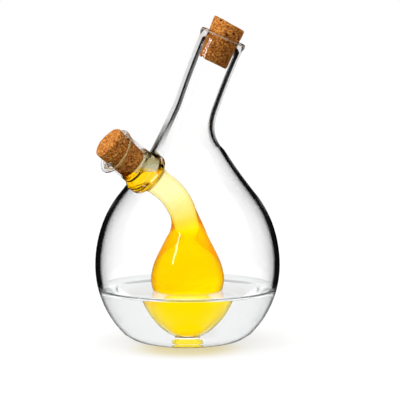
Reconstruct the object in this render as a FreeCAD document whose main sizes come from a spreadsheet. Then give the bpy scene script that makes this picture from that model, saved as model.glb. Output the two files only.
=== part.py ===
# Two-in-one oil and vinegar dispenser: a round glass bottle for vinegar with a leaning
# neck, and a pear-shaped glass vessel for oil fused inside it, whose spout comes out
# through the bottle's shoulder. Both mouths are closed with tapered corks.
#
# The origin is the middle of the flat base, +Z is up, the neck leans towards +X and the
# spout points towards -X, turned a little towards -Y. Sizes are in millimetres.
import FreeCAD, Part
import math
import os
import re

doc = FreeCAD.newDocument("dispenser")
Vector = FreeCAD.Vector
Rotation = FreeCAD.Rotation


# ---------------------------------------------------------------- driving dimensions
SIZES = {
    # bottle body: flat base, soft corner, then an egg of two half ellipses
    "base_radius": 26.5,
    "corner_radius": 13.0,
    "corner_start": 8.0,
    "base_thickness": 3.0,
    "room_floor_radius": 25.5,
    "belly_radius": 50.3,
    "belly_height": 41.0,
    "belly_drop": 51.5,
    "belly_rise": 58.0,
    "belly_wall": 2.5,
    # straight shoulder, then the hollow curve of the throat
    "shoulder_top": 104.0,
    "throat_height": 129.0,
    "throat_radius": 11.9,
    "throat_bend": 43.0,
    "neck_wall": 2.6,
    # the neck's middle line: a short bend, then a long easy one up to the mouth
    "lean_start": 104.0,
    "lean_radius": 56.0,
    "neck_tilt": 18.2,
    "sway_radius": 465.0,
    "mouth_tilt": 23.8,
    "mouth_radius": 12.2,
    # inner vessel: solid foot, pear, bent neck
    "foot_radius": 10.5,
    "waist_radius": 4.9,
    "waist_height": 9.8,
    "pear_radius": 19.9,
    "pear_height": 33.0,
    "pear_drop": 23.1,
    # 1 would leave the underside a half ellipse; a higher power makes it more pointed
    "pear_point": 1.143,
    "pear_rise": 38.0,
    "pear_neck": 7.2,
    "pear_wall": 1.5,
    "elbow_radius": 34.0,
    # spout: where its middle line leaves the shoulder, and how it points
    "spout_turn": 26.0,
    "spout_reach": 28.0,
    "spout_height": 94.7,
    "spout_slope": 37.5,
    "spout_length": 17.5,
    "spout_radius": 10.2,
    # the flange that seals the spout into the shoulder
    "seal_radius": 12.2,
    "seal_depth": 8.5,
    "seal_wall": 2.2,
    # rolled lips
    "lip_height": 1.7,
    "neck_lip_swell": 0.6,
    "spout_lip_swell": 2.6,
    # the spout's lip leans and droops, so that it pours
    "spout_lip_lean": 10.0,
    "spout_lip_drop": 1.4,
    # both mouths have the same bore and the same taper for their corks
    "bore_radius": 8.7,
    "seat_depth": 4.0,
    "cork_taper": 0.0457,
    "cork_chamfer": 0.5,
    "neck_cork_length": 23.0,
    "neck_cork_out": 9.7,
    "spout_cork_length": 20.0,
    "spout_cork_out": 7.0,
    # fillings
    "vinegar_level": 28.0,
    "oil_level": 93.6,
    # side of the block that cuts the fillings off at their level
    "block_side": 140.0,
}

sheet = doc.addObject("Spreadsheet::Sheet", "sizes")
for row, (alias, value) in enumerate(SIZES.items(), start=1):
    sheet.set(f"A{row}", alias)
    sheet.set(f"B{row}", str(value))
    sheet.setAlias(f"B{row}", alias)
doc.recompute()

ALIAS = re.compile(r"\b(" + "|".join(SIZES) + r")\b")


# ---------------------------------------------------------------- helpers
def bind(item, **expressions):
    """Tie properties to the sheet; a dot in a property name is written as two underscores."""
    for key, text in expressions.items():
        item.setExpression(key.replace("__", "."), ALIAS.sub(r"sizes.\1", text))


def place(item, across, height, tilt):
    """Stand an item on a tube's middle line, in the upright plane that the tube leans in."""
    item.Placement = FreeCAD.Placement(Vector(), Rotation(Vector(0, 1, 0), 1.0))
    bind(item, Placement__Base__x=across, Placement__Base__z=height,
         Placement__Rotation__Angle=tilt)


def ring(across, height, tilt, radius):
    """One round section of a blown form."""
    circle = doc.addObject("Part::Circle", "ring")
    bind(circle, Radius=radius)
    place(circle, across, height, tilt)
    return circle


def upright_ring(height, radius):
    return ring("0", height, "0", radius)


def blown(name, rings):
    """A smooth solid through a row of rings."""
    loft = doc.addObject("Part::Loft", name)
    loft.Sections = rings
    loft.Solid = True
    loft.Ruled = False
    return loft


def combined(kind, name, base, tool):
    """A Part::Cut, Part::Fuse or Part::Common of two forms."""
    result = doc.addObject("Part::" + kind, name)
    result.Base = base
    result.Tool = tool
    return result


def turned_to_spout(item):
    """Turn a form made over +X round the upright axis, so that it points along the spout."""
    item.Placement = FreeCAD.Placement(Vector(), Rotation(Vector(0, 0, 1), 1.0))
    bind(item, Placement__Rotation__Angle="180 + spout_turn")
    return item


# ---------------------------------------------------------------- middle lines
def neck_point(tilt):
    """Across and height of the bottle's middle line where it leans by tilt."""
    bend = f"min({tilt}; neck_tilt) * 1 deg"
    sway = f"max({tilt}; neck_tilt) * 1 deg"
    across = (f"lean_radius * (1 - cos({bend}))"
              f" + sway_radius * (cos(neck_tilt * 1 deg) - cos({sway}))")
    height = (f"lean_start + lean_radius * sin({bend})"
              f" + sway_radius * (sin({sway}) - sin(neck_tilt * 1 deg))")
    return across, height


def mouth_point(distance):
    """Across and height on the straight line that the neck ends in, outward positive."""
    across, height = neck_point("mouth_tilt")
    return (f"{across} + ({distance}) * sin(mouth_tilt * 1 deg)",
            f"{height} + ({distance}) * cos(mouth_tilt * 1 deg)")


def spout_point(distance):
    """Across and height on the spout's straight middle line, measured from its mouth."""
    along = f"(spout_length + ({distance}))"
    return (f"spout_reach + {along} * cos(spout_slope * 1 deg)",
            f"spout_height + {along} * sin(spout_slope * 1 deg)")


SPOUT_TILT = "90 - spout_slope"
ELBOW_START = ("spout_height - spout_reach * tan(spout_slope * 1 deg)"
               " - elbow_radius * tan((90 - spout_slope) / 2 * 1 deg)")
# the seal's inner end, as a distance from the spout's mouth
SEAL_END = "-spout_length - seal_depth"


# ---------------------------------------------------------------- mouths
def lip_rings(point, tilt, radius, swell):
    """Rings of a rolled lip: a bead that swells out of a tube of this radius."""
    return [ring(*point(f"lip_height * {climb}"), tilt, f"{radius} + {swell} * {share}")
            for climb, share in ((-2.4, 0), (-1.2, 0.35), (-0.4, 0.9), (0.4, 0.9), (1, 0))]


def pouring_lip_rings(radius):
    """Rings of the spout's lip, which lean back and droop towards its lower side."""
    rings = []
    for climb, share, lean in ((-2.6, 0, 0.4), (-1.4, 0.35, 0.8), (-0.5, 0.9, 1), (0.3, 0.95, 1),
                               (1, 0.1, 1)):
        across, height = spout_point(f"lip_height * {climb}")
        rings.append(ring(f"{across} + spout_lip_drop * {share} * sin(spout_slope * 1 deg)",
                          f"{height} - spout_lip_drop * {share} * cos(spout_slope * 1 deg)",
                          f"{SPOUT_TILT} + spout_lip_lean * {lean}",
                          f"{radius} + spout_lip_swell * {share}"))
    return rings


def seat_rings(point, tilt):
    """Rings of a cork's ground seat, from the bore out through the mouth."""
    return [ring(*point(distance), tilt,
                 f"bore_radius + cork_taper * (seat_depth + ({distance}))")
            for distance in ("-seat_depth", "-seat_depth / 2", "0", "lip_height * 1.5")]


# ---------------------------------------------------------------- outer bottle
def corner_ring(wall, floor, flat, turn):
    """A ring of the soft corner between the flat base and the belly."""
    corner = f"(corner_radius - ({wall}))"
    return upright_ring(
        f"{floor} + {corner} * (cos(corner_start * 1 deg) - cos(({turn}) * 1 deg))",
        f"{flat} + {corner} * (sin(({turn}) * 1 deg) - sin(corner_start * 1 deg))")


def bottle_rings(wall, neck_wall, floor, flat):
    """Rings of the bottle's outer face, or of its inside when walls are given."""
    rings = [corner_ring(wall, floor, flat, turn) for turn in ("corner_start", 20, 34)]
    for half, angles in (("belly_drop", (-45, -35, -24, -12)), ("belly_rise", (0, 13, 26, 39.6))):
        for angle in angles:
            rings.append(upright_ring(f"belly_height + ({half} - ({wall})) * sin({angle} deg)",
                                      f"(belly_radius - ({wall})) * cos({angle} deg)"))
    throat = "throat_radius + throat_bend - sqrt(throat_bend ^ 2 - (throat_height - ({})) ^ 2)"
    rings.append(upright_ring("shoulder_top", f"{throat.format('shoulder_top')} - ({wall})"))
    for share in (0.25, 0.5, 0.75, 1.0):
        tilt = f"neck_tilt * {share}"
        along = f"lean_start + lean_radius * {tilt} * {math.radians(1):.6f}"
        rings.append(ring(*neck_point(tilt), tilt, f"{throat.format(along)} - ({neck_wall})"))
    for share in (0.3, 0.6):
        tilt = f"neck_tilt + (mouth_tilt - neck_tilt) * {share}"
        outer = f"throat_radius + (mouth_radius - throat_radius) * {share}"
        rings.append(ring(*neck_point(tilt), tilt, f"{outer} - ({neck_wall})"))
    return rings


bottle_skin = blown(
    "bottle_skin",
    bottle_rings("0", "0", "0", "base_radius")
    + lip_rings(mouth_point, "mouth_tilt", "mouth_radius", "neck_lip_swell"))
bottle_room = blown(
    "bottle_room",
    bottle_rings("belly_wall", "neck_wall", "base_thickness", "room_floor_radius")
    + seat_rings(mouth_point, "mouth_tilt"))


# ---------------------------------------------------------------- inner vessel
def pear_rings(wall):
    """Rings of the pear and its bent neck, from the pear's bottom up to the elbow's end."""
    rings = []
    radius = f"(pear_radius - ({wall}))"
    neck = f"(pear_neck - ({wall}))"
    for angle in (72, 58, 42, 26, 12, 0):
        rings.append(upright_ring(
            f"pear_height - (pear_drop - ({wall})) * sin({angle} deg) ^ pear_point",
            f"{radius} * cos({angle} deg) ^ pear_point"))

    def width(share):
        """The pear draws in to its neck like a half wave."""
        return f"{neck} + ({radius} - {neck}) * (1 + cos(180 deg * {share})) / 2"

    for share in (0.15, 0.3, 0.45):
        rings.append(upright_ring(f"pear_height + pear_rise * {share}", width(share)))
    for turn in (0, 0.25, 0.5, 0.75, 1):
        tilt = f"({SPOUT_TILT}) * {turn}"
        along = f"{ELBOW_START} + elbow_radius * {tilt} * {math.radians(1):.6f}"
        rings.append(ring(f"elbow_radius * (1 - cos({tilt} * 1 deg))",
                          f"{ELBOW_START} + elbow_radius * sin({tilt} * 1 deg)",
                          tilt, width(f"min(1; ({along} - pear_height) / pear_rise)")))
    return rings


def seal_rings(wall):
    """Rings of the flared flange that seals the vessel's neck into the bottle's shoulder."""
    inner_end = f"{SEAL_END} + ({wall})"
    outer_end = f"-spout_length - ({wall})"
    flange = f"seal_radius - ({wall})"
    steps = (
        (f"{inner_end} - 4", f"pear_neck + 0.3 - ({wall})"),
        (f"{inner_end} - 1", f"pear_neck + 1.3 - ({wall})"),
        (f"{inner_end} + 0.8", f"{flange} - 0.9"),
        (f"{inner_end} + 2.4", flange),
        (f"{outer_end} - 1", f"{flange} - 0.2"),
    )
    return [ring(*spout_point(distance), SPOUT_TILT, radius) for distance, radius in steps]


def foot_ring(share):
    """A ring of the solid foot, which flares from its waist down to the floor."""
    return upright_ring(f"base_thickness + (waist_height - base_thickness) * {share}",
                        f"waist_radius + (foot_radius - waist_radius) * sin(90 deg * (1 - {share}))")


foot_rings = [foot_ring(share) for share in (0, 0.3, 0.6, 0.85, 1)]
tube_rings = [
    ring(*spout_point("-spout_length + 2.5"), SPOUT_TILT, "spout_radius"),
    ring(*spout_point("-spout_length / 2"), SPOUT_TILT, "spout_radius - 0.2"),
]
bore_rings = [
    ring(*spout_point("-spout_length + 1.5"), SPOUT_TILT, "bore_radius"),
    ring(*spout_point("-spout_length / 2"), SPOUT_TILT, "bore_radius"),
]
vessel_skin = turned_to_spout(blown(
    "vessel_skin",
    foot_rings + pear_rings("0") + seal_rings("0") + tube_rings
    + pouring_lip_rings("spout_radius - 0.3")))
vessel_room = turned_to_spout(blown(
    "vessel_room",
    pear_rings("pear_wall") + seal_rings("seal_wall") + bore_rings
    + seat_rings(spout_point, SPOUT_TILT)))


# ---------------------------------------------------------------- the two blown pieces
# They are fused where the foot meets the bottle's floor and round the flange.
bottle_shell = combined("Cut", "bottle_shell", bottle_skin, bottle_room)
bottle = combined("Cut", "bottle", bottle_shell, vessel_skin)
oil_vessel = combined("Cut", "oil_vessel", vessel_skin, vessel_room)


# ---------------------------------------------------------------- corks
def cork(name, length, out, point, tilt):
    """A tapered cork that stands out of its mouth, with both end edges broken."""
    inner_end = f"{out} - {length}"
    blank = doc.addObject("Part::Cone", name + "_blank")
    bind(blank, Height=length,
         Radius1=f"bore_radius + cork_taper * (seat_depth + {inner_end})",
         Radius2=f"bore_radius + cork_taper * (seat_depth + {out})")
    place(blank, *point(inner_end), tilt)
    doc.recompute()
    result = doc.addObject("Part::Chamfer", name)
    result.Base = blank
    size = sheet.get("cork_chamfer")
    result.Edges = [(number, size, size) for number, edge in enumerate(blank.Shape.Edges, start=1)
                    if edge.Curve.TypeId == "Part::GeomCircle"]
    return result


neck_cork = cork("neck_cork", "neck_cork_length", "neck_cork_out", mouth_point, "mouth_tilt")
spout_cork = turned_to_spout(
    cork("spout_cork", "spout_cork_length", "spout_cork_out", spout_point, SPOUT_TILT))


# ---------------------------------------------------------------- fillings
def below(name, level):
    """A block from the table up to a liquid's level."""
    block = doc.addObject("Part::Box", name)
    bind(block, Length="block_side", Width="block_side", Height=level,
         Placement__Base__x="-block_side / 2", Placement__Base__y="-block_side / 2")
    return block


vinegar_fill = combined("Common", "vinegar_fill", bottle_room,
                        below("under_vinegar", "vinegar_level"))
vinegar = combined("Cut", "vinegar", vinegar_fill, vessel_skin)

oil_fill = combined("Common", "oil_fill", vessel_room, below("under_oil", "oil_level"))
oil = combined("Cut", "oil", oil_fill, spout_cork)


# ---------------------------------------------------------------- check and write
NODES = {
    "bottle": bottle,
    "oil_vessel": oil_vessel,
    "neck_cork": neck_cork,
    "spout_cork": spout_cork,
    "vinegar": vinegar,
    "oil": oil,
}
for node, item in NODES.items():
    item.Label = node
doc.recompute()

for item in doc.Objects:
    if "Invalid" in item.State or "Error" in item.State:
        raise RuntimeError(f"{item.Name} failed: {item.State}")

for node, item in NODES.items():
    shape = item.Shape
    if shape.isNull() or not shape.isValid():
        raise RuntimeError(f"{node} has no valid shape")
    if len(shape.Solids) != 1:
        raise RuntimeError(f"{node} has {len(shape.Solids)} solids")

os.makedirs("parts", exist_ok=True)
for node, item in NODES.items():
    item.Shape.exportStep(f"parts/{node}.step")
    box = item.Shape.BoundBox
    print(f"{node}: {item.Shape.Volume / 1000:.2f} cm3,"
          f" {box.XLength:.1f} x {box.YLength:.1f} x {box.ZLength:.1f} mm,"
          f" z {box.ZMin:.1f} to {box.ZMax:.1f}")
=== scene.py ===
# %% [markdown]
# # A two-in-one oil and vinegar cruet
# The object is one piece of blown glass: a round bottle with a leaning neck, and a pear
# for oil fused inside it, whose spout leaves through the shoulder. Two corks close it,
# clear vinegar stands in the bottle and golden oil fills the pear.
#
# This first cell loads the measured model. Every piece below is made over it, in metres
# and in the same place, and takes the place of its plain solids. Sizes are written in
# millimetres, as on a glassblower's drawing, and MM turns them to metres.
# %% Load the measured frame
import math
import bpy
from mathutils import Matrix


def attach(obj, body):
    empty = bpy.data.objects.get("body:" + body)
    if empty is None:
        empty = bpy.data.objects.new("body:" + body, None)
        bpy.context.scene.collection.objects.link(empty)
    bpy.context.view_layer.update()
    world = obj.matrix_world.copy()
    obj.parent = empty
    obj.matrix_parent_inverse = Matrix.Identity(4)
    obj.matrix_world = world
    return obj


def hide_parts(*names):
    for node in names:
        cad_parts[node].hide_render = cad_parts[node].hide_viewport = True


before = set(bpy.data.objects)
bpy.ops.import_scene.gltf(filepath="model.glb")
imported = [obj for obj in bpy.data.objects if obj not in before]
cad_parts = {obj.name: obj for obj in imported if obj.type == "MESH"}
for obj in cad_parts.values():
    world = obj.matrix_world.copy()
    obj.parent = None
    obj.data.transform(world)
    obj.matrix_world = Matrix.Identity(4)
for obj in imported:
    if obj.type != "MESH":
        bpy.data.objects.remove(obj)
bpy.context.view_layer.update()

from types import SimpleNamespace

import bpy
from mathutils import Vector

scene = bpy.context.scene
MM = 0.001
print("frame nodes:", sorted(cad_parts))


# %% [markdown]
# ## The camera
# The camera stands almost a metre away, level with the corks, and looks slightly down
# with a long lens, as one does to show a small product without stretching it.
# %% Camera
CAMERA_SIDE, CAMERA_AWAY, CAMERA_HIGH, AIM_HIGH = 6.8, 955, 175, 76.5

eye = Vector((CAMERA_SIDE * MM, -CAMERA_AWAY * MM, CAMERA_HIGH * MM))
aim = Vector((CAMERA_SIDE * MM, 0, AIM_HIGH * MM))
bpy.ops.object.camera_add(location=eye, rotation=(aim - eye).to_track_quat("-Z", "Y").to_euler())
camera = bpy.context.object
camera.data.sensor_width = 36.0
camera.data.lens = 159.0
camera.data.clip_end = 20.0
scene.camera = camera
print("camera distance:", round((aim - eye).length, 3), "m")


# %% [markdown]
# ## Round forms, pulled ring by ring
# Blown glass has a round section everywhere, but its middle line bends. A spin can only
# make straight forms, and a curve with a bevel hides its profile. So each form starts as
# a circle, and its edge is extruded, moved, turned and scaled to the next ring, the way
# a glassblower draws a tube out. A ring is (across, height, tilt, radius) in millimetres
# and radians, in the upright plane that the tube leans in.
# %% Helper: pull a form through rings
SEGMENTS = 128
SAME_TILT = 1e-6
WELD_WITHIN = 0.01


def take(piece):
    """Select one piece only and make it the active one."""
    bpy.ops.object.select_all(action="DESELECT")
    piece.select_set(True)
    bpy.context.view_layer.objects.active = piece


def begin(name):
    """Name the newest object and open it in edit mode with everything selected."""
    piece = bpy.context.object
    piece.name = name
    piece.data.name = name
    bpy.ops.object.mode_set(mode="EDIT")
    bpy.ops.mesh.select_all(action="SELECT")
    return piece


def pull(name, rings, weld=False):
    """Extrude a circle from ring to ring and close both ends flat; with weld, the last ring
    lies on the first instead, which closes the form round a hole."""
    bpy.ops.object.select_all(action="DESELECT")
    across, height, tilt, radius = rings[0]
    bpy.ops.mesh.primitive_circle_add(
        vertices=SEGMENTS, radius=radius * MM, fill_type="NGON",
        location=(across * MM, 0, height * MM), rotation=(0, tilt, 0))
    bpy.ops.object.transform_apply(location=True, rotation=True, scale=True)
    piece = begin(name)
    bpy.ops.mesh.flip_normals()
    bpy.ops.mesh.region_to_loop()
    if weld:
        bpy.ops.mesh.select_mode(type="FACE")
        bpy.ops.mesh.select_all(action="SELECT")
        bpy.ops.mesh.delete(type="ONLY_FACE")
        bpy.ops.mesh.select_mode(type="EDGE")
        bpy.ops.mesh.select_all(action="SELECT")
    for ring in rings[1:]:
        bpy.ops.mesh.extrude_edges_move(
            TRANSFORM_OT_translate={"value": ((ring[0] - across) * MM, 0, (ring[1] - height) * MM)})
        centre = (ring[0] * MM, 0, ring[1] * MM)
        if abs(ring[2] - tilt) > SAME_TILT:
            bpy.ops.transform.rotate(value=tilt - ring[2], orient_axis="Y", center_override=centre)
        grow = ring[3] / radius
        bpy.ops.transform.resize(value=(grow, grow, grow), center_override=centre)
        across, height, tilt, radius = ring
    if weld:
        bpy.ops.mesh.select_all(action="SELECT")
        bpy.ops.mesh.remove_doubles(threshold=WELD_WITHIN * MM)
    else:
        bpy.ops.mesh.edge_face_add()
    bpy.ops.mesh.select_all(action="SELECT")
    bpy.ops.mesh.normals_make_consistent(inside=False)
    bpy.ops.object.mode_set(mode="OBJECT")
    print(f"{name}: {len(rings)} rings, {len(piece.data.polygons)} faces")
    return piece


print("each ring has", SEGMENTS, "points")


# %% [markdown]
# ## The bottle's outline
# The belly is an egg: a half ellipse below its widest ring and a taller one above. An
# almost straight shoulder leads to the throat, a hollow arc that ends in the neck. One
# function gives the middle line, which leans in a short bend and then sways on gently up
# to the mouth, and two give the radius of the egg and of the throat at any height.
# %% Outline of the outer bottle
WIDE = 50.28
WIDE_AT, DROP, RISE = 41.0, 51.5, 58.0
BASE_FLAT, CORNER = 26.5, 13.0
EGG_TOP, SHOULDER_TOP, THROAT_AT = 78.0, 104.0, 129.0
THROAT, THROAT_BEND, MOUTH = 11.9, 43.0, 12.2
SHOULDER_SAG = 0.6
LEAN_AT, LEAN_BEND, LEAN = 104.0, 56.0, math.radians(18.2)
SWAY_BEND, MOUTH_LEAN = 465.0, math.radians(23.8)
LEAN_END = LEAN_AT + LEAN_BEND * LEAN
MOUTH_AT = LEAN_END + SWAY_BEND * (MOUTH_LEAN - LEAN)


def bottle_line(way):
    """(across, height, tilt) of the bottle's middle line, way millimetres along it."""
    bend = min(max(way - LEAN_AT, 0) / LEAN_BEND, LEAN)
    sway = LEAN + min(max(way - LEAN_END, 0) / SWAY_BEND, MOUTH_LEAN - LEAN)
    beyond = max(way - MOUTH_AT, 0)
    across = (LEAN_BEND * (1 - math.cos(bend)) + SWAY_BEND * (math.cos(LEAN) - math.cos(sway))
              + beyond * math.sin(MOUTH_LEAN))
    height = (min(way, LEAN_AT) + LEAN_BEND * math.sin(bend)
              + SWAY_BEND * (math.sin(sway) - math.sin(LEAN)) + beyond * math.cos(MOUTH_LEAN))
    return across, height, bend if way < LEAN_END else sway


def egg(way, wall=0.0):
    """Radius of the belly, or of the room inside its wall, at this height."""
    reach = (DROP if way < WIDE_AT else RISE) - wall
    return (WIDE - wall) * math.sqrt(max(0.0, 1 - ((way - WIDE_AT) / reach) ** 2))


def throat(way):
    """Radius of the shoulder's top and the throat, this far along the middle line."""
    hollow = THROAT_BEND - math.sqrt(THROAT_BEND ** 2 - (THROAT_AT - min(way, THROAT_AT)) ** 2)
    return THROAT + hollow


def steps(first, last, count):
    """Evenly spaced numbers from first to last, both included."""
    return [first + (last - first) * i / count for i in range(count + 1)]


print("mouth is", round(MOUTH_AT, 1), "mm along; it stands at",
      [round(v, 1) for v in bottle_line(MOUTH_AT)[:2]])


# %% [markdown]
# ## The bottle's skin and the room inside it
# A glass wall could be made with a Solidify modifier, but then the thick base and the
# cork's ground seat would need repairs. Here the wall is the space between two closed
# forms, the skin and the room: the same rings, drawn once at the outside and once a wall
# further in. The lip is the skin's last few rings, and the seat is the room's.
# %% Bottle skin and bottle room
BELLY_WALL, NECK_WALL, FLOOR = 2.5, 2.6, 3.0
BORE, SEAT, TAPER = 8.7, 4.0, 0.0457
CORNER_FROM, CORNER_TO, EGG_FROM = math.radians(8), math.radians(34), math.radians(-46)
NECK_WALL_AFTER, LIP_LONG = 12.0, 6.0
NECK_LIP_SWELL = 0.7


def bottle_rings(wall=0.0, neck_wall=0.0, floor=0.0):
    """Rings from the base up to just under the mouth."""
    rings = []
    corner = CORNER - wall
    flat = BASE_FLAT - floor / 3
    for turn in steps(CORNER_FROM, CORNER_TO, 6):
        rings.append((0, floor + corner * (math.cos(CORNER_FROM) - math.cos(turn)), 0.0,
                      flat + corner * (math.sin(turn) - math.sin(CORNER_FROM))))
    for angle in steps(EGG_FROM, 0, 14) + steps(0, math.asin((EGG_TOP - WIDE_AT) / RISE), 12)[1:]:
        reach = (RISE if angle > 0 else DROP) - wall
        rings.append((0, WIDE_AT + reach * math.sin(angle), 0.0, (WIDE - wall) * math.cos(angle)))
    joint = rings[-1]
    for share in steps(0, 1, 6)[1:]:
        radius = joint[3] + (throat(SHOULDER_TOP) - wall - joint[3]) * share
        rings.append((0, joint[1] + (SHOULDER_TOP - joint[1]) * share, 0.0,
                      radius - SHOULDER_SAG * math.sin(math.pi * share)))
    for way in steps(SHOULDER_TOP, MOUTH_AT - LIP_LONG, 30)[1:]:
        widening = max(0.0, (way - THROAT_AT) / (MOUTH_AT - THROAT_AT))
        outer = throat(way) + (MOUTH - THROAT) * widening
        thickening = min(1.0, (way - SHOULDER_TOP) / NECK_WALL_AFTER)
        rings.append((*bottle_line(way), outer - wall - (neck_wall - wall) * thickening))
    return rings


def neck_lip_rings():
    """Rings of the neck's lip, which swells out of the tube and closes flat."""
    rings = []
    for way, share in ((-3.4, 0.0), (-2.6, 0.1), (-1.9, 0.36), (-1.3, 0.66), (-0.7, 0.9), (0, 1.0),
                       (0.5, 0.93), (0.9, 0.72), (1.25, 0.4), (1.5, 0.0), (1.65, -0.5), (1.7, -0.9)):
        rings.append((*bottle_line(MOUTH_AT + way),
                      MOUTH + NECK_LIP_SWELL * max(share, 0) + min(share, 0)))
    return rings


def seat_rings(line, mouth_at, out=3.0):
    """Rings of the cork's ground seat, out through the mouth."""
    return [(*line(mouth_at + way), BORE + TAPER * (SEAT + way)) for way in steps(-SEAT, out, 5)]


bottle_skin = pull("bottle_skin", bottle_rings() + neck_lip_rings())
bottle_room = pull("bottle_room", bottle_rings(BELLY_WALL, NECK_WALL, FLOOR)
                   + seat_rings(bottle_line, MOUTH_AT))


# %% [markdown]
# ## The pear's outline
# The oil vessel stands on a solid waist of glass fused to the base. Its pear draws in to
# a bent neck, which flares into a flange where it is sealed to the shoulder, and leaves
# as a straight spout with a large pouring lip. A sculpted blob would do from afar, but
# only true rings give the clean edges that glass shows. The vessel is made over +X, like
# the bottle, and is turned to its side later.
# %% Outline of the pear
FOOT, WAIST, WAIST_AT = 10.5, 4.9, 9.8
PEAR, PEAR_AT, PEAR_DROP, PEAR_RISE, PEAR_NECK = 19.9, 33.0, 23.1, 38.0, 7.2
POINTED = 1.143
PEAR_WALL = 1.5
SLOPE, TURN = math.radians(37.5), math.radians(26)
REACH, REACH_AT, SPOUT_LONG, SPOUT = 28.0, 94.7, 17.5, 10.2
ELBOW = 34.0
ELBOW_TURN = math.pi / 2 - SLOPE
ELBOW_AT = REACH_AT - REACH * math.tan(SLOPE) - ELBOW * math.tan(ELBOW_TURN / 2)
ELBOW_END = ELBOW_AT + ELBOW * ELBOW_TURN
STRAIGHT = (REACH - ELBOW * (1 - math.cos(ELBOW_TURN))) / math.cos(SLOPE) + SPOUT_LONG
SPOUT_AT = ELBOW_END + STRAIGHT


def pear_line(way):
    """(across, height, tilt) of the pear's middle line, way millimetres along it."""
    turn = min(max(way - ELBOW_AT, 0) / ELBOW, ELBOW_TURN)
    beyond = max(way - ELBOW_END, 0)
    return (ELBOW * (1 - math.cos(turn)) + beyond * math.cos(SLOPE),
            min(way, ELBOW_AT) + ELBOW * math.sin(turn) + beyond * math.sin(SLOPE), turn)


def pear_rings(wall, bottom):
    """Rings of the pear from its bottom, this many degrees down, up through the elbow."""
    rings = []
    radius, neck = PEAR - wall, PEAR_NECK - wall
    for angle in steps(math.radians(bottom), 0, 16):
        rings.append((0, PEAR_AT - (PEAR_DROP - wall) * math.sin(angle) ** POINTED, 0.0,
                      radius * math.cos(angle) ** POINTED))
    for way in steps(PEAR_AT, ELBOW_AT, 14)[1:] + steps(ELBOW_AT, ELBOW_END, 14)[1:]:
        share = min(1.0, (way - PEAR_AT) / PEAR_RISE)
        rings.append((*pear_line(way), neck + (radius - neck) * (1 + math.cos(math.pi * share)) / 2))
    return rings


print("spout mouth is", round(SPOUT_AT, 1), "mm along the pear's line")


# %% [markdown]
# ## The flange and the pouring lip
# Where the bent neck meets the shoulder, the glass was gathered into a flange, wider than
# the spout, to seal the two together. The pouring lip leans back and droops on its lower
# side, so that the last drop runs back in.
# %% Rings of the flange and the pouring lip
SEAL, SEAL_DEEP, SEAL_WALL = 12.2, 8.5, 2.2
LIP_SWELL, LIP_LEAN, LIP_DROOP = 2.6, 9.0, 1.2
LIP_NECK = SPOUT - 0.3
LIP_BEND_FROM, LIP_BEND_LONG = 8.0, 6.0


def seal_rings(wall):
    """Rings of the flared flange; wall is how far the room stays inside it."""
    inner = SPOUT_AT - SPOUT_LONG - SEAL_DEEP + wall
    outer = SPOUT_AT - SPOUT_LONG - wall
    neck, flange = PEAR_NECK - min(wall, PEAR_WALL), SEAL - wall
    profile = ((inner - 5, neck + 0.1), (inner - 3, neck + 0.5), (inner - 1.6, neck + 1.2),
               (inner - 0.7, neck + 2.1), (inner, neck + 3.4), (inner + 0.6, flange - 0.8),
               (inner + 1.4, flange - 0.2), (inner + 2.4, flange), (outer - 1, flange - 0.2))
    return [(*pear_line(way), radius) for way, radius in profile]


def pouring_lip_rings():
    """Rings of the spout's lip: larger, leaning back, and drooping to its lower side."""
    rings = []
    for way, share in ((-5.0, 0.0), (-4.0, 0.08), (-3.0, 0.3), (-2.2, 0.58), (-1.4, 0.84),
                       (-0.6, 0.98), (0.2, 1.0), (0.8, 0.86), (1.2, 0.6), (1.5, 0.2), (1.7, -0.4)):
        across, height, tilt = pear_line(SPOUT_AT + way)
        lean = math.radians(LIP_LEAN) * min(1.0, (way + LIP_BEND_FROM) / LIP_BEND_LONG)
        droop = LIP_DROOP * max(share, 0)
        rings.append((across + droop * math.sin(SLOPE), height - droop * math.cos(SLOPE),
                      tilt + lean, LIP_NECK + LIP_SWELL * max(share, 0) + min(share, 0)))
    return rings


print("flange is", SEAL - SPOUT, "mm proud of the spout; the lip swells", LIP_SWELL, "mm")


# %% [markdown]
# ## The vessel's skin and room
# Skin and room are pulled like the bottle's. The foot and waist are in the skin only,
# because they are solid glass. The spout narrows a hair towards its mouth, and its bore
# ends in the same ground seat as the neck's.
# %% Vessel skin and vessel room
WAIST_FROM = FLOOR + 0.3
SPOUT_NARROWS = 0.015
SKIN_BOTTOM, ROOM_BOTTOM = 72, 86

foot = [(0, FLOOR / 2, 0.0, FOOT)]
for share in steps(0, 1, 8):
    foot.append((0, WAIST_FROM + (WAIST_AT - WAIST_FROM) * share, 0.0,
                 WAIST + (FOOT - WAIST) * math.sin(math.pi / 2 * (1 - share))))
tube = [(*pear_line(SPOUT_AT - SPOUT_LONG + way), SPOUT - SPOUT_NARROWS * way)
        for way in (1.5, 4, 7, 10, 13)]
bore = [(*pear_line(SPOUT_AT - SPOUT_LONG + way), BORE) for way in (0.5, 3, 6, 9, 12)]

vessel_skin = pull("vessel_skin", foot + pear_rings(0, SKIN_BOTTOM) + seal_rings(0) + tube
                   + pouring_lip_rings())
vessel_room = pull("vessel_room", pear_rings(PEAR_WALL, ROOM_BOTTOM) + seal_rings(SEAL_WALL) + bore
                   + seat_rings(pear_line, SPOUT_AT, 5.0))


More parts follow.
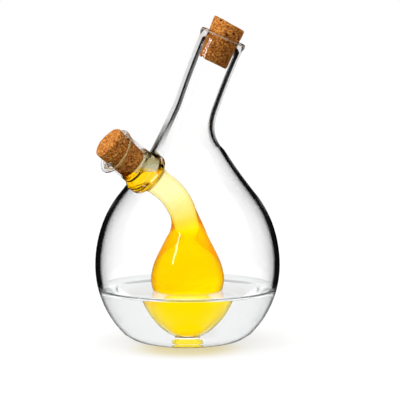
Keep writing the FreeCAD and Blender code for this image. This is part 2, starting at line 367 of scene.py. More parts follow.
# %% [markdown]
# ## Dry and wetted glass
# Where a liquid touches the glass, light passes between the two almost as if the surface
# weren't there, and only dry glass mirrors. So each form carries two materials, and its
# faces are sorted by height before the forms are joined. The oil behind the pear's thin
# wall also drowns most of what its outside mirrors, all but the side that faces the
# window, where the pear shows a bright streak.
# %% Sort the faces into dry and wet
VINEGAR_LEVEL, OIL_LEVEL = 27.5, 93.6
WALL_CREEP, PEAR_CREEP = 2.4, 0.3
OILY_TO, TO_WINDOW, FACES_WINDOW = 88, Vector((-0.533, -0.682, 0.5)), 0.75
NEVER_WET = -1
DRY, WET = 0, 1

glass_kinds = [bpy.data.materials.new("clear_borosilicate_glass"),
               bpy.data.materials.new("wetted_borosilicate_glass")]


def turn_to_spout(piece):
    """Turn a form made over +X round the upright axis to the spout's side."""
    take(piece)
    piece.rotation_euler = (0, 0, math.pi + TURN)
    bpy.ops.object.transform_apply(location=True, rotation=True, scale=True)


def wet_below(piece, level):
    """Give a form both glasses, and the wet one to its faces below a level."""
    for kind in glass_kinds:
        piece.data.materials.append(kind)
    for face in piece.data.polygons:
        face.material_index = WET if face.center.z < level * MM else DRY


turn_to_spout(vessel_skin)
turn_to_spout(vessel_room)
wet_below(bottle_skin, NEVER_WET)
wet_below(bottle_room, VINEGAR_LEVEL + WALL_CREEP)
wet_below(vessel_skin, VINEGAR_LEVEL + PEAR_CREEP)
wet_below(vessel_room, OIL_LEVEL)
for face in vessel_skin.data.polygons:
    if face.center.z < OILY_TO * MM and face.normal.dot(TO_WINDOW) < FACES_WINDOW:
        face.material_index = WET
print("wet faces of the vessel:", sum(face.material_index for face in vessel_skin.data.polygons))


# %% [markdown]
# ## One piece of glass
# The four forms become one solid the way the real one is fused: the bottle's room is
# taken out of its skin, the vessel is joined on, and the oil's room is taken out last, so
# that it opens the spout through the shoulder. Exact booleans leave every curved face
# that they don't cross as it was; a remesh would soften them all.
# %% Fuse the glass
def modify(piece, kind, **settings):
    """Add a modifier with these settings and apply it at once."""
    modifier = piece.modifiers.new(kind.lower(), kind)
    for name, value in settings.items():
        setattr(modifier, name, value)
    bpy.ops.object.modifier_apply(modifier=modifier.name)


def carve(piece, tool, operation):
    """Apply one exact boolean and remove its tool."""
    take(piece)
    modify(piece, "BOOLEAN", solver="EXACT", operation=operation, object=tool)
    bpy.data.objects.remove(tool)
    print(f"{piece.name}: {operation.lower()}, {len(piece.data.polygons)} faces")


def smooth(piece, angle=40):
    """Smooth shading that keeps edges sharper than the angle."""
    take(piece)
    bpy.ops.object.shade_smooth_by_angle(angle=math.radians(angle))


carve(bottle_skin, bottle_room, "DIFFERENCE")
carve(bottle_skin, vessel_skin, "UNION")
carve(bottle_skin, vessel_room, "DIFFERENCE")
glass = bottle_skin
glass.name = "blown_glass"
smooth(glass)


# %% [markdown]
# ## The vinegar
# The liquid is a ring-shaped solid: up the bottle's wall, over the top and down the
# vessel's side. Wherever it meets glass it reaches a fifth of a millimetre into the wall,
# so that light never crosses a film of air, and it creeps up both walls in a meniscus.
# Its top is sorted from its sides, because only the top has air above it and mirrors.
# %% Vinegar
INTO_WALL = 0.2
WALL_CREEP_FADES, PEAR_CREEP_FADES = 1.8, 1.1
FLAT_ENOUGH, TOP_BAND, STOP_SHORT = 0.1, 0.5, 0.5
FROM_WALL = (0, 0.25, 0.5, 0.9, 1.4, 2.1, 3.2, 5, 8)


def pear_width(height):
    """Outer radius of the pear below its widest ring."""
    power = 2 / POINTED
    return PEAR * (1 - ((PEAR_AT - height) / PEAR_DROP) ** power) ** (1 / power)


def vinegar_rings():
    """Rings of the vinegar, starting and ending at the inner edge of its bottom."""
    into = BELLY_WALL - INTO_WALL
    outside = [ring for ring in bottle_rings(into, into, FLOOR - INTO_WALL)
               if ring[1] < VINEGAR_LEVEL + WALL_CREEP - STOP_SHORT]
    wall = egg(VINEGAR_LEVEL + WALL_CREEP, into)
    pear = pear_width(VINEGAR_LEVEL + PEAR_CREEP) - INTO_WALL
    top = [(0, VINEGAR_LEVEL + WALL_CREEP * math.exp(-away / WALL_CREEP_FADES), 0.0, wall - away)
           for away in (*FROM_WALL, 11)]
    top += [(0, VINEGAR_LEVEL + PEAR_CREEP * math.exp(-away / PEAR_CREEP_FADES), 0.0, pear + away)
            for away in reversed(FROM_WALL)]
    inside = [(0, height, 0.0, radius - INTO_WALL)
              for _, height, _, radius in reversed(foot + pear_rings(0, SKIN_BOTTOM))
              if FLOOR < height < VINEGAR_LEVEL]
    bottom = (0, FLOOR - INTO_WALL, 0.0, inside[-1][3])
    return [bottom] + outside + top + inside + [bottom]


vinegar = pull("clear_vinegar", vinegar_rings(), weld=True)
for name in ("white_vinegar", "white_vinegar_surface"):
    vinegar.data.materials.append(bpy.data.materials.new(name))
for face in vinegar.data.polygons:
    lies_flat = face.normal.z > FLAT_ENOUGH
    face.material_index = int(lies_flat and face.center.z > (VINEGAR_LEVEL - TOP_BAND) * MM)
smooth(vinegar, 50)


# %% [markdown]
# ## The oil
# The oil has the shape of the vessel's room, a little into its walls, up to its level.
# The bisect cuts it off there with a flat face, which leaves the air bubble under the
# upper side of the flange.
# %% Oil
OIL_TOP = 0.4

oil_bore = [(across, height, tilt, radius + INTO_WALL)
            for across, height, tilt, radius in bore + seat_rings(pear_line, SPOUT_AT, OIL_TOP)]
oil = pull("golden_oil", pear_rings(PEAR_WALL - INTO_WALL, ROOM_BOTTOM)
           + seal_rings(SEAL_WALL - INTO_WALL) + oil_bore)
turn_to_spout(oil)
begin("golden_oil")
bpy.ops.mesh.bisect(plane_co=(0, 0, OIL_LEVEL * MM), plane_no=(0, 0, 1), use_fill=True,
                    clear_outer=True)
bpy.ops.object.mode_set(mode="OBJECT")
smooth(oil)
print("oil's top is at", round(max(v.co.z for v in oil.data.vertices) / MM, 2), "mm")


# %% [markdown]
# ## The corks
# Each cork is a tapered plug pulled like the glass, remeshed into an even skin and then
# worn by three displacements: a slow one that leaves it slightly out of round and chips
# its rims, pits where the bark's pores open, and a fine grain. Bump alone would leave the
# outline as clean as turned plastic. The spout's cork was pushed in a little askew.
# %% Corks
CORK_GRAIN_SIZE = 0.28
CORK_GAP = 0.1
ASKEW, ASKEW_PIVOT = math.radians(3), 2.0
ROUNDING = ((0, 1.0), (0.15, 0.55), (0.45, 0.2), (1.0, 0.0))


def noise(name, size, depth, low=0.0, high=1.0):
    """Cloud texture of a size in millimetres, cut off below low and above high."""
    texture = bpy.data.textures.new(name, "CLOUDS")
    texture.noise_scale = size * MM
    texture.noise_depth = depth
    texture.use_color_ramp = True
    for element, position, grey in zip(texture.color_ramp.elements, (low, high), (0, 1)):
        element.position = position
        element.color = (grey, grey, grey, 1)
    return texture


# Each wear is a texture, how far it moves the skin in millimetres, and its middle grey.
CORK_WEAR = (
    (noise("cork_warp", 6.0, 1), 0.5, 0.5),
    (noise("cork_pores", 1.5, 2, 0.60, 0.72), -0.45, 0.0),
    (noise("cork_grain", 0.7, 2), 0.16, 0.5),
)


def cork(name, line, mouth_at, out, length, round_over, skew=0.0):
    """Pull a tapered plug along a line, its ends cut at a skew, remesh it and wear its skin."""
    start = mouth_at + out - length
    profile = [(start + way, round_over * share) for way, share in ROUNDING]
    profile += [(start + way, 0.0) for way in steps(2, length - 2, 8)]
    profile += [(start + length - way, round_over * share) for way, share in reversed(ROUNDING)]
    rings = []
    for way, inset in profile:
        across, height, tilt = line(way)
        rings.append((across, height, tilt + math.radians(skew),
                      BORE + TAPER * (SEAT + way - mouth_at) - inset - CORK_GAP))
    plug = pull(name, rings)
    for texture, strength, middle in CORK_WEAR:
        modify(plug, "REMESH", mode="VOXEL", voxel_size=CORK_GRAIN_SIZE * MM)
        modify(plug, "DISPLACE", texture=texture, texture_coords="LOCAL", strength=strength * MM,
               mid_level=middle)
    bpy.ops.object.shade_smooth()
    print(f"{name}: {len(plug.data.polygons)} faces")
    return plug


def askew_line(way):
    """The spout's middle line for a cork that leans up out of it."""
    across, height, tilt = pear_line(SPOUT_AT - ASKEW_PIVOT)
    reach = way - (SPOUT_AT - ASKEW_PIVOT)
    return (across + reach * math.cos(SLOPE + ASKEW), height + reach * math.sin(SLOPE + ASKEW),
            pear_line(way)[2] - ASKEW)


neck_cork = cork("neck_cork_bark", bottle_line, MOUTH_AT, out=9.0, length=23.0, round_over=0.7,
                 skew=5.0)
spout_cork = cork("spout_cork_bark", askew_line, SPOUT_AT, out=6.8, length=20.0, round_over=1.0)
turn_to_spout(spout_cork)


# %% [markdown]
# ## The rims of the two mouths
# Fire polish draws the glass at a mouth into a thin bead that catches the light, and on
# the spout a trace of oil makes it golden. A Bevel on the lip would round it, but too
# faintly to show, so each bead is a ring of its own, pulled round a small circle and
# welded to its own start.
# %% Rim beads
def rim_bead(name, line, mouth_at, lean, radius, thick):
    """A thin bead round a mouth; lean is in degrees."""
    across, height, tilt = line(mouth_at)
    tilt += math.radians(lean)
    rings = []
    for angle in steps(0, math.tau, 12):
        out = thick * math.sin(angle)
        rings.append((across + out * math.sin(tilt), height + out * math.cos(tilt), tilt,
                      radius + thick * math.cos(angle)))
    bead = pull(name, rings, weld=True)
    smooth(bead, 180)
    return bead


neck_bead = rim_bead("neck_rim_bead", bottle_line, MOUTH_AT + 0.5, lean=0, radius=12.3, thick=0.32)
spout_bead = rim_bead("spout_rim_bead", pear_line, SPOUT_AT - 1.8, lean=LIP_LEAN, radius=10.3,
                      thick=0.34)
turn_to_spout(spout_bead)


# %% [markdown]
# ## Colours and nodes
# A look is a small network of nodes. Colours are written as a screen shows them, in six
# hex digits, and one function turns them into linear light. Another adds a node and takes
# its inputs in brackets, so that a network, which could also be drawn in the node editor,
# reads like a formula.
# %% Colour and node helpers
def colour(code):
    """Linear RGBA of a colour written as six hex digits."""
    levels = [int(code[i:i + 2], 16) / 255 for i in (0, 2, 4)]
    return [v / 12.92 if v <= 0.04045 else ((v + 0.055) / 1.055) ** 2.4 for v in levels] + [1.0]


def open_nodes(owner):
    """Make the node tree of a material or a world the one in hand; returns its nodes."""
    global tree
    owner.use_nodes = True
    tree = owner.node_tree
    return tree.nodes


def material(name):
    """Open the material of this name, made if it is new; returns it and its shader."""
    made = bpy.data.materials.get(name) or bpy.data.materials.new(name)
    return made, open_nodes(made)["Principled BSDF"]


def fill(socket, value):
    """Link a node or an output to an input, or set a number or colour on it."""
    if isinstance(value, bpy.types.Node):
        value = next(output for output in value.outputs if output.enabled)
    if isinstance(value, bpy.types.NodeSocket):
        tree.links.new(value, socket)
    else:
        socket.default_value = value


def fill_in(made, **values):
    """Fill a node's inputs by their names, written with _ for a space."""
    for name, value in values.items():
        fill(made.inputs[name.replace("_", " ")], value)


def node(kind, *values, **settings):
    """Add a node to the tree in hand. Its kind may end in an operation, as "Math ADD" does.
    Values fill its inputs in order, and a setting is a property or else a named input."""
    kind, _, operation = kind.partition(" ")
    made = tree.nodes.new("ShaderNode" + kind)
    if operation:
        made.operation = operation
    for name, value in settings.items():
        if hasattr(made, name):
            setattr(made, name, value)
        else:
            fill_in(made, **{name: value})
    for socket, value in zip([socket for socket in made.inputs if socket.enabled], values):
        fill(socket, value)
    return made


def set_ramp(ramp, stops):
    """Give a colour ramp its stops: (position, hex colour) pairs in rising order."""
    elements = ramp.color_ramp.elements
    while len(elements) < len(stops):
        elements.new(1.0)
    for element, (position, code) in zip(elements, stops):
        element.position = position
        element.color = colour(code)
    return ramp


def dress(piece, look, *nodes, slot):
    """Give a piece its material and say which CAD nodes it stands for."""
    if not piece.data.materials:
        piece.data.materials.append(look)
    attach(piece, "root")
    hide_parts(*nodes)
    print(f"{piece.name}: {[kind.name for kind in piece.data.materials]}")


print("FFD21E in linear light:", [round(v, 3) for v in colour("FFD21E")])


# %% [markdown]
# ## Masks
# A mask is a number that is 1 in one region and 0 elsewhere, as a painter's tape parts a
# wall. Four short formulas do all that this object needs.
# %% Mask formulas
MIXED = {"data_type": "RGBA"}
MULTIPLIED = {"data_type": "RGBA", "blend_type": "MULTIPLY"}


def every(*masks):
    """1 only where all the masks are 1: their product."""
    product = masks[0]
    for mask in masks[1:]:
        product = node("Math MULTIPLY", product, mask)
    return product


def between(value, low, high):
    """1 where a value lies between two others."""
    return every(node("Math GREATER_THAN", value, low), node("Math LESS_THAN", value, high))


def beyond(value, start, steepness):
    """0 up to a start, and from there rising to 1 at this steepness."""
    return node("Math MULTIPLY", node("Math SUBTRACT", value, start), steepness, use_clamp=True)


def sum_of(base, *changes):
    """A base value, changed by an amount wherever that change's mask is 1."""
    for mask, amount in changes:
        base = node("Math MULTIPLY_ADD", mask, amount, base)
    return base


# %% [markdown]
# ## Places on the glass
# The glass is one mesh, but its foot, flange, neck and lips don't look alike. Painted
# vertices would smear along the tall faces, so the shader works out where a point is: how
# high, how far from the upright axis, and how far up the neck or the spout.
# %% Measure where a point of the glass is
SPOUT_WAY = (-math.cos(TURN) * math.cos(SLOPE), -math.sin(TURN) * math.cos(SLOPE), math.sin(SLOPE))
NECK_WAY = (math.sin(MOUTH_LEAN), 0, math.cos(MOUTH_LEAN))
ACROSS_NECK = (math.cos(MOUTH_LEAN), 0, -math.sin(MOUTH_LEAN))
NECK_LIP_FROM, NECK_LIP_STEEP = 154 * MM, 0.3 / MM

# The spout's foot is the point of its middle line that lies nearest to the origin.
mouth_across, mouth_height = pear_line(SPOUT_AT)[:2]
mouth_reach = mouth_across * math.cos(SLOPE) + mouth_height * math.sin(SLOPE)
foot_across = mouth_across - mouth_reach * math.cos(SLOPE)
SPOUT_FOOT = (-foot_across * math.cos(TURN) * MM, -foot_across * math.sin(TURN) * MM,
              (mouth_height - mouth_reach * math.sin(SLOPE)) * MM)


def measure():
    """Where a point is and how edge on it is seen, as values of the tree in hand."""
    place = node("TexCoord").outputs["Object"]
    across, deep, height = node("SeparateXYZ", place).outputs
    squares = node("Math ADD", node("Math POWER", across, 2.0), node("Math POWER", deep, 2.0))
    spout_reach = node("VectorMath DOT_PRODUCT", place, SPOUT_WAY)
    beside_foot = node("VectorMath MULTIPLY_ADD", spout_reach, [-v for v in SPOUT_WAY], place)
    neck_reach = node("VectorMath DOT_PRODUCT", place, NECK_WAY)
    return SimpleNamespace(
        edge_on=node("LayerWeight", Blend=0.5).outputs["Facing"],
        across=across,
        height=height,
        from_axis=node("Math SQRT", squares),
        spout_reach=spout_reach,
        from_spout_axis=node("VectorMath DISTANCE", beside_foot, SPOUT_FOOT),
        across_neck=node("VectorMath DOT_PRODUCT", place, ACROSS_NECK),
        neck_lip=beyond(neck_reach, NECK_LIP_FROM, NECK_LIP_STEEP))


print("spout's foot:", [round(v / MM, 1) for v in SPOUT_FOOT], "mm")


# %% [markdown]
# ## The painted dark edges of clear glass
# Borosilicate glass is almost without colour, yet a bottle has a dark outline, because
# edge on the glass mirrors the dark room and the light has a long way to go inside the
# wall. Real absorption strong enough for that would grey the whole bottle, so the outline
# is painted shade instead: the colour turns grey with the angle. The dark band is a little
# wider below the vinegar's level and narrower in the neck, and the pear's sides are left
# white where vinegar stands round them.
# %% Painted shade of the glass edge on
# These greys are painted shade for glass seen edge on.
EDGE_SHADE_GREYS = ((0.68, "FFFFFF"), (0.77, "A0A09C"), (0.86, "585858"), (1.0, "585858"))
EDGE_STRENGTH, BELOW_VINEGAR, IN_NECK, ON_NECK_LIP, NONE_LEFT = 0.89, 0.05, -0.10, -0.16, -1.0
PEAR_OUT, PEAR_FROM = 24 * MM, 11 * MM


def painted_edge_shade(at):
    """Painted shade: white where the glass is seen straight on, dark grey where seen edge on."""
    below = node("Math LESS_THAN", at.height, VINEGAR_LEVEL * MM)
    in_neck = node("Math GREATER_THAN", at.height, SHOULDER_TOP * MM)
    pear_side = every(below, node("Math LESS_THAN", at.from_axis, PEAR_OUT),
                      node("Math GREATER_THAN", at.height, PEAR_FROM))
    strength = sum_of(EDGE_STRENGTH, (below, BELOW_VINEGAR), (in_neck, IN_NECK),
                      (pear_side, NONE_LEFT), (at.neck_lip, ON_NECK_LIP))
    return set_ramp(node("ValToRGB", node("Math MULTIPLY", at.edge_on, strength)), EDGE_SHADE_GREYS)


print("glass turns grey from", round(EDGE_SHADE_GREYS[0][0] / EDGE_STRENGTH, 2), "of edge on")


# %% [markdown]
# ## The foot's painted golden glow and the misted flange
# The solid foot carries the oil's light down to the table, as a light guide does; that glow
# is painted in as a golden tint. Oil that ran back has left a dull film inside the flange,
# above the oil's level. Both are tints that multiply the glass's own colour inside a mask.
# %% Tints in the glass: the foot's painted glow and the flange's mist
# The foot's gold is painted light: the oil's glow carried down the solid foot.
FOOT_GLOW_GOLD, FOOT_OUT, FOOT_UP = "FFE53C", 12.5 * MM, 8.5 * MM
MIST, MIST_FROM, MIST_TO, MIST_OUT = "D4CEAC", 73 * MM, 85 * MM, 12.8 * MM


def tinted(at, base):
    """The base colour with the foot's painted golden glow and the flange's mist over it."""
    foot_glow = every(node("Math LESS_THAN", at.from_axis, FOOT_OUT),
                   node("Math LESS_THAN", at.height, FOOT_UP))
    misted = every(node("Math GREATER_THAN", at.height, OIL_LEVEL * MM),
                   between(at.spout_reach, MIST_FROM, MIST_TO),
                   node("Math LESS_THAN", at.from_spout_axis, MIST_OUT))
    for mask, code in ((foot_glow, FOOT_GLOW_GOLD), (misted, MIST)):
        base = node("Mix", mask, base, colour(code), **MULTIPLIED)
    return base


print("the mist is", round((MIST_TO - MIST_FROM) / MM), "mm long")


# %% [markdown]
# ## Thin glass round the corks
# The spout's outer wall and the neck's skin are blown so thin that they hardly bend what
# is behind them. Thinner walls in the mesh would leave the corks loose, so some of
# the light is let straight through by the alpha: all round the spout past its flange, less
# at the edge of its lip, and in the neck only where the wall is seen at a slant. That
# band starts later on the neck's right side, and on its lip it is the part that faces you.
# %% Clearer skin round the corks
SPOUT_SIDE, SPOUT_FROM, SPOUT_STEEP, SPOUT_CLEAR = -14 * MM, 83 * MM, 0.5 / MM, 0.86
LIP_FROM, LIP_STEEP, LIP_EDGE, LIP_KEEPS = 92.5 * MM, 0.4 / MM, 0.5, -0.70
NECK_FROM, NECK_STEEP, NECK_CLEAR, LIP_EXTRA = 104 * MM, 0.06 / MM, 0.82, 0.04
SLANT_FROM, SLANT_TO, RIGHT_SIDE, RIGHT_LATER = 0.48, 0.87, -47 * MM, 0.14
LIP_SLANT_FROM, LIP_SLANT_TO = -0.48, -0.37


def see_through(at):
    """Alpha of the glass: 1 in most places, and less in its thin skin round the corks."""
    spout_side = node("Math LESS_THAN", at.across, SPOUT_SIDE)
    thin = every(spout_side, beyond(at.spout_reach, SPOUT_FROM, SPOUT_STEEP))
    lip_edge = every(spout_side, beyond(at.spout_reach, LIP_FROM, LIP_STEEP),
                     node("Math GREATER_THAN", at.edge_on, LIP_EDGE))
    spout_clear = sum_of(node("Math MULTIPLY", thin, SPOUT_CLEAR), (lip_edge, LIP_KEEPS))
    right = node("Math GREATER_THAN", at.across_neck, RIGHT_SIDE)
    slant_from = sum_of(SLANT_FROM, (right, RIGHT_LATER), (at.neck_lip, LIP_SLANT_FROM))
    slant_to = sum_of(SLANT_TO, (at.neck_lip, LIP_SLANT_TO))
    neck_skin = every(between(at.edge_on, slant_from, slant_to),
                      beyond(at.height, NECK_FROM, NECK_STEEP))
    neck_clear = every(neck_skin, sum_of(NECK_CLEAR, (at.neck_lip, LIP_EXTRA)))
    return node("Math SUBTRACT", 1.0, node("Math MAXIMUM", spout_clear, neck_clear))


print("least alpha:", round(1 - SPOUT_CLEAR, 2))


# %% [markdown]
# ## Borosilicate glass, fire polished
# The flame leaves the surface as smooth as a drop, so its roughness is zero, and it bends
# light by 1.47, a little less than window glass. The dry glass mirrors like any glass. The
# wetted one has a black specular tint, which takes its mirror image away and leaves only
# the glint of grazing light.
# %% Both kinds of glass
for kind, mirror in zip(glass_kinds, ("FFFFFF", "000000")):
    shader = open_nodes(kind)["Principled BSDF"]
    at = measure()
    fill_in(shader, Transmission_Weight=1.0, Roughness=0.0, IOR=1.47,
            Specular_Tint=colour(mirror), Base_Color=tinted(at, painted_edge_shade(at)),
            Alpha=see_through(at))
    print(f"{kind.name}: {len(tree.nodes)} nodes")
dress(glass, glass_kinds[DRY], "bottle", "oil_vessel", slot="clear_glass")


# %% [markdown]
# ## The polished beads and their painted highlight
# A bead this thin, seen against a bright room, catches the light and looks pale and dull
# and not clear, so its colour is a painted highlight. It ripples slowly between a dimmer
# and a brighter tone, because a hand-held flame never polishes evenly. The spout's bead is
# golden with oil and with painted light, and nearly opaque.
# %% Bead glass with a painted highlight
RIPPLES_PER_MM = 0.22


def dress_highlight_bead(bead, node_name, dim, bright, alpha):
    """Give a bead its rippled glass, a pale painted highlight, and its CAD node."""
    bead_look, shader = material(bead.name + "_glass")
    ripple = node("TexNoise", node("TexCoord").outputs["Object"],
                  Scale=RIPPLES_PER_MM / MM, Detail=2.0)
    painted_glint = set_ramp(node("ValToRGB", ripple), ((0.36, dim), (0.64, bright)))
    fill_in(shader, Base_Color=painted_glint, Roughness=0.25, Alpha=alpha)
    dress(bead, bead_look, node_name, slot="clear_glass")


# Both beads' pale and golden tones are painted highlights.
dress_highlight_bead(neck_bead, "bottle", "D4BAA0", "F2DCC6", 0.55)
dress_highlight_bead(spout_bead, "oil_vessel", "C8A460", "EACC8A", 0.9)


# %% [markdown]
# ## White vinegar
# White vinegar is water with a breath of grey, and bends light by 1.335. Only its top, the
# one face with air above it, mirrors. Under the glass a second mirror would draw a false
# inner bottle.
# %% Vinegar's two faces
for name, mirror in (("white_vinegar_surface", "FFFFFF"), ("white_vinegar", "000000")):
    vinegar_look, shader = material(name)
    fill_in(shader, Base_Color=colour("FCFDFD"), Transmission_Weight=1.0, Roughness=0.0,
            IOR=1.335, Specular_Tint=colour(mirror))
dress(vinegar, vinegar_look, "vinegar", slot="vinegar")


# %% [markdown]
# ## Golden salad oil
# Oil bends light by 1.465, almost as glass does, and swallows blue. It is deep gold where
# it is thick, in the pear and the wide flange, and pale lemon in the thin bent neck, partly
# for its thinness and partly as painted light, the white haze that the neck shows.
# Absorption alone can't give that range, so a ramp along a slightly slanted height sets
# the gold, and a weak absorption adds the depth.
# %% Gold at each height of the oil
OIL_SLANT, OIL_HEIGHT = (-0.35, 0, 1), 100 * MM
# The palest golds, up the bent neck, are partly painted light.
OIL_GOLDS = ((0.285, "FFE100"), (0.30, "FFD200"), (0.42, "FFD400"), (0.48, "FFE000"),
             (0.57, "FFEC00"), (0.60, "FFEA24"), (0.65, "FBE04C"), (0.70, "FCE880"),
             (0.76, "FCF0A0"), (0.83, "FFF9C4"))
FLANGE_FROM, FLANGE_TO, FLANGE_GOLD = 68.5 * MM, 72.5 * MM, "FFD21E"

oil_look, shader = material("golden_salad_oil")
place = node("TexCoord").outputs["Object"]
height = node("SeparateXYZ", place).outputs["Z"]
slanted = node("MapRange", node("VectorMath DOT_PRODUCT", place, OIL_SLANT),
               From_Min=0.0, From_Max=OIL_HEIGHT)
gold = set_ramp(node("ValToRGB", slanted), OIL_GOLDS)
in_flange = node("MapRange", node("VectorMath DOT_PRODUCT", place, SPOUT_WAY),
                 From_Min=FLANGE_FROM, From_Max=FLANGE_TO)
gold = node("Mix", in_flange, gold, colour(FLANGE_GOLD), **MIXED)
print("golds of the oil:", len(OIL_GOLDS) + 1)


# %% [markdown]
# ## The oil's painted rim shade
# Seen edge on, oil looks a browner gold, partly because light goes a longer way in it; the
# rim here is painted shade, a colour that follows the angle. This rim shows round the pear
# above the vinegar, and is fainter in the bent neck, where the oil is thin. The angle gives
# it a crisp edge, which absorption alone would blur.
# %% Painted rim shade and depth of the oil
OIL_RIM_SHADE = ((0.19, "FFFFFF"), (0.265, "E8C444"), (0.31, "F6DC64"))
BENT_NECK_FROM, BENT_NECK_STEEP, BENT_NECK_FAINTER = 62 * MM, 0.12 / MM, -0.65

# The rim is painted shade: a browner gold where the oil is seen edge on.
rim_shade = set_ramp(node("ValToRGB", node("LayerWeight", Blend=0.5).outputs["Facing"]), OIL_RIM_SHADE)
bent_neck = every(beyond(height, BENT_NECK_FROM, BENT_NECK_STEEP),
                  node("Math SUBTRACT", 1.0, in_flange))
rim_amount = every(node("Math GREATER_THAN", height, VINEGAR_LEVEL * MM),
                   sum_of(1.0, (bent_neck, BENT_NECK_FAINTER)))
rim_shaded = node("Mix", rim_amount, gold, rim_shade, **MULTIPLIED)
fill_in(shader, Base_Color=rim_shaded, Transmission_Weight=1.0, Roughness=0.0, IOR=1.465,
        Specular_Tint=colour("000000"))
fill_in(tree.nodes["Material Output"],
        Volume=node("VolumeAbsorption", Color=colour("FFFA78"), Density=22.0))
dress(oil, oil_look, "oil", slot="oil")


# %% [markdown]
# ## Natural cork
# Cork is bark: dull, warm brown, with a pale grain and dark open pores. Its true cells,
# some thirty to a millimetre, are too fine to show, so the grain is drawn about one to a
# millimetre, and the pores twice as coarse. Noise in the object's own space has no seam.
# %% Cork bark
GRAINS_PER_MM, PORES_PER_MM = 0.95, 0.42

cork_look, shader = material("natural_cork")
place = node("TexCoord").outputs["Object"]
grain = node("TexNoise", place, Scale=GRAINS_PER_MM / MM, Detail=4.0, Roughness=0.62)
pores = node("TexNoise", place, Scale=PORES_PER_MM / MM, Detail=3.0, Roughness=0.55)
bark = set_ramp(node("ValToRGB", grain), ((0.34, "803A08"), (0.50, "CE7A2A"), (0.64, "F4B258")))
holes = set_ramp(node("ValToRGB", pores), ((0.30, "4A2004"), (0.40, "FFFFFF")))
pitted = node("Mix", 1.0, bark, holes, **MULTIPLIED)
fill_in(shader, Base_Color=pitted, Roughness=0.85, Specular_IOR_Level=0.25)
dress(neck_cork, cork_look, "neck_cork", slot="cork")
dress(spout_cork, cork_look, "spout_cork", slot="cork")


# %% [markdown]
# ## Light for each kind of ray
# Seen straight on or through the glass, everything round the bottle is white. What it
# mirrors is almost black, as if black cards stood round it, and that draws its dark edges.
# White sheets among the cards give the highlights. Real cards would show through the
# glass too, so the light asks each ray what it did: dull, mirrored or straight, and how
# many surfaces it crossed, four in and out of the empty belly and six through vinegar.
# %% Light for each kind of ray
THROUGH_GLASS, THROUGH_VINEGAR, VINEGAR_CROSSINGS = 1.15, 0.94, 6.0
SHEET_LEVEL, DEEP_LEVEL, WINDOW_LEVEL, CARD_LEVEL = 0.95, 1.5, 14.0, 0.005
BELLY_CROSSINGS, INSIDE_FROM, DEEP_FROM = 4.0, 3.5, 4.5
ONE, SAME = 0.5, 0.5


def studio_light(narrow, wide, lit_level, window=0.0, deep_from=DEEP_FROM):
    """Strength of the white surroundings. Narrow, wide and window say how far those sheets
    cover a direction, lit_level lights dull surfaces, and a ray that crossed more surfaces
    than deep_from finds white all round."""
    path = node("LightPath").outputs
    crossings = path["Transmission Depth"]
    dull = node("Math GREATER_THAN", path["Diffuse Depth"], ONE)
    clear = node("Math SUBTRACT", 1.0, dull)
    mirrored = every(clear, node("Math GREATER_THAN", path["Glossy Depth"], ONE))
    straight = node("Math SUBTRACT", clear, mirrored)

    through = node("Math GREATER_THAN", crossings, ONE)
    in_vinegar = node("Math COMPARE", crossings, VINEGAR_CROSSINGS, SAME)
    level = sum_of(1.0, (through, THROUGH_GLASS - 1.0),
                   (in_vinegar, THROUGH_VINEGAR - THROUGH_GLASS))

    inside = node("Math GREATER_THAN", crossings, INSIDE_FROM)
    deep = node("Math GREATER_THAN", crossings, deep_from)
    in_belly = node("Math COMPARE", crossings, BELLY_CROSSINGS, SAME)
    sheet = node("Math MULTIPLY", node("Math MAXIMUM", narrow, every(inside, wide)), SHEET_LEVEL)
    for cover, brightness in ((deep, DEEP_LEVEL), (every(in_belly, window), WINDOW_LEVEL)):
        sheet = node("Math MAXIMUM", sheet, node("Math MULTIPLY", cover, brightness))
    gloss = every(mirrored, node("Math MAXIMUM", sheet, CARD_LEVEL))
    seen = node("Math ADD", every(straight, level), gloss)
    return sum_of(seen, (dull, lit_level))


print("white seen straight: 1; through the glass:", THROUGH_GLASS)


# %% [markdown]
# ## The sheets in the studio
# A narrow sheet stands right behind the bottle, and a wider one is mirrored only inside it,
# by the vinegar's top. The window is a tall, narrow sheet at the left of the camera,
# and only the pear inside the belly shows it, as a white streak. Each sheet is a mask on
# the direction, whose parts X, Y and Z lie between -1 and 1, with Y away from the camera.
# %% World
NARROW_FROM, NARROW_STEEP = 0.982, 120.0
WIDE_FROM, WIDE_STEEP, WIDE_ASIDE, WIDE_ASIDE_STEEP = 0.6, 6.0, 0.42, 8.0
WINDOW_TURN, WINDOW_HALF_WIDE = math.radians(60), 0.07
WINDOW_LOW, WINDOW_HIGH = 0.50, 0.90
LIT_LEVEL = 0.72

world = bpy.data.worlds.new("studio")
scene.world = world
background = open_nodes(world)["Background"]
direction = node("TexCoord").outputs["Generated"]
x, y, z = node("SeparateXYZ", direction).outputs
narrow = beyond(y, NARROW_FROM, NARROW_STEEP)
wide = every(beyond(y, WIDE_FROM, WIDE_STEEP),
             beyond(WIDE_ASIDE, node("Math ABSOLUTE", x), WIDE_ASIDE_STEEP))
from_window = node("VectorMath DOT_PRODUCT", direction,
                   (-math.cos(WINDOW_TURN), math.sin(WINDOW_TURN), 0))
window = every(node("Math LESS_THAN", node("Math ABSOLUTE", from_window), WINDOW_HALF_WIDE),
               node("Math LESS_THAN", y, 0.0), between(z, WINDOW_LOW, WINDOW_HIGH))
fill_in(background, Color=(1, 1, 1, 1), Strength=studio_light(narrow, wide, LIT_LEVEL, window))
print("world:", len(tree.nodes), "nodes")


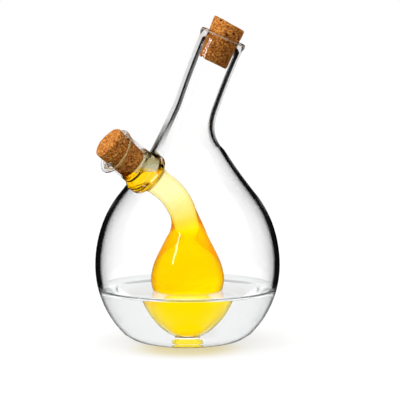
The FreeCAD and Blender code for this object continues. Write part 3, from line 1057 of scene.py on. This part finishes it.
# %% [markdown]
# ## The white card underneath
# The bottle stands on white card. Mirrored in the glass, the card is as dark as the rest,
# but for a strip behind the bottle, which carries the narrow sheet on down. Light on a
# dull card could never match the white round it exactly, so the card glows by the same
# rule as the world and is only faintly lit.
# %% Floor
CARD_RADIUS, CARD_DOWN = 1.5, 0.2
CARD_GREY, CARD_GLOW, CARD_DEEP_FROM = "686868", 0.93, 7.5
STRIP_BEHIND, STRIP_ASIDE, STRIP_STEEP, NOT_ZERO = 0.75, 0.19, 20.0, 0.01

bpy.ops.mesh.primitive_circle_add(
    vertices=96, radius=CARD_RADIUS, fill_type="NGON", location=(0, 0, -CARD_DOWN * MM))
bpy.ops.object.transform_apply(location=True, rotation=True, scale=True)
floor = bpy.context.object
floor.name = "white_floor"
floor.data.name = "white_floor"

floor_look, shader = material("white_card")
path = node("LightPath").outputs
x, y, z = node("SeparateXYZ", node("TexCoord").outputs["Object"]).outputs
in_gloss = every(node("Math GREATER_THAN", path["Glossy Depth"], ONE),
                 node("Math LESS_THAN", path["Diffuse Depth"], ONE))
card = node("Mix", in_gloss, colour(CARD_GREY), (0, 0, 0, 1), **MIXED)
fill_in(shader, Base_Color=card, Roughness=0.9, Specular_IOR_Level=0.0)
aside = node("Math ABSOLUTE", node("Math DIVIDE", x, node("Math MAXIMUM", y, NOT_ZERO)))
strip = every(node("Math GREATER_THAN", y, STRIP_BEHIND),
              beyond(STRIP_ASIDE, aside, STRIP_STEEP),
              node("Math LESS_THAN", path["Transmission Depth"], INSIDE_FROM))
card_light = studio_light(strip, 0.0, 0.0, deep_from=CARD_DEEP_FROM)
glow = node("Emission", Strength=node("Math MULTIPLY", card_light, CARD_GLOW))
print("card:", CARD_RADIUS * 2, "m across")


# %% [markdown]
# ## Shadow and golden glow
# Under the bottle lies a soft grey shadow, and in it a golden pool that the oil throws.
# Traced, such a pool stays speckled for very long, so both are soft oval patches on the
# card. Rays from deep inside the pear don't see them, because it would blow them up into
# blotches, as a lens does.
# %% Patches on the floor
PATCH_FULL_TO = 0.30


def pool(middle, half_wide, half_deep, code):
    """A soft oval patch of a colour on the card, white outside; sizes in millimetres."""
    offset = node("Math SUBTRACT", y, middle * MM)
    away = [node("Math POWER", node("Math DIVIDE", distance, half * MM), 2.0)
            for distance, half in ((x, half_wide), (offset, half_deep))]
    patch = node("ValToRGB", node("Math SQRT", node("Math ADD", *away)))
    patch.color_ramp.interpolation = "EASE"
    return set_ramp(patch, ((PATCH_FULL_TO, code), (1.0, "FFFFFF")))


shadow = pool(middle=-8, half_wide=68, half_deep=70, code="EDECE8")
golden_pool = pool(middle=-28, half_wide=36, half_deep=32, code="F2E4B4")
both = node("Mix", 1.0, shadow, golden_pool, **MULTIPLIED)
shallow = node("Math LESS_THAN", path["Transmission Depth"], CARD_DEEP_FROM)
fill_in(glow, Color=node("Mix", shallow, (1, 1, 1, 1), both, **MIXED))
fill_in(tree.nodes["Material Output"], Surface=node("AddShader", shader, glow))
floor.data.materials.append(floor_look)
print("floor:", len(tree.nodes), "nodes")


# %% [markdown]
# ## Two strip lights
# A tall soft box on the left gives the long highlight down the belly and the neck, and a
# second one, nearer the camera, doubles it. They are strips because a highlight has the
# shape of its lamp. Neither shows through the glass, only in its gloss.
# %% Lamps
STRIP_WIDE, STRIP_HIGH, STRIP_POWER, STRIP_AWAY, STRIP_AIM = 0.045, 0.55, 2.2, 0.9, 0.08


def strip_light(name, azimuth, elevation):
    """A tall soft box, this many degrees to the left of the camera's side and above the
    bottle's middle, turned to face it."""
    turn, rise = math.radians(azimuth), math.radians(elevation)
    middle = Vector((0, 0, STRIP_AIM))
    way = Vector((-math.sin(turn) * math.cos(rise), -math.cos(turn) * math.cos(rise),
                  math.sin(rise)))
    facing = (-way).to_track_quat("-Z", "Y").to_euler()
    bpy.ops.object.light_add(type="AREA", location=middle + way * STRIP_AWAY, rotation=facing)
    made = bpy.context.object
    made.name = name
    made.data.shape = "RECTANGLE"
    made.data.size = STRIP_WIDE
    made.data.size_y = STRIP_HIGH
    made.data.energy = STRIP_POWER
    made.visible_camera = False
    made.visible_transmission = False
    print(f"{name}: at {[round(v, 2) for v in made.location]} m")


strip_light("left_strip", azimuth=62, elevation=27)
strip_light("front_strip", azimuth=51, elevation=25)


# %% [markdown]
# ## Enough bounces for glass in glass
# Through the bottle, the vinegar and the pear, a ray crosses up to a dozen surfaces, and
# a ray cut short turns black. The Standard view keeps white card truly white.
# %% Render settings that belong to the look
scene.view_settings.view_transform = "Standard"
scene.cycles.max_bounces = 32
scene.cycles.transmission_bounces = 32
scene.cycles.glossy_bounces = 16
print("bounces:", scene.cycles.max_bounces)
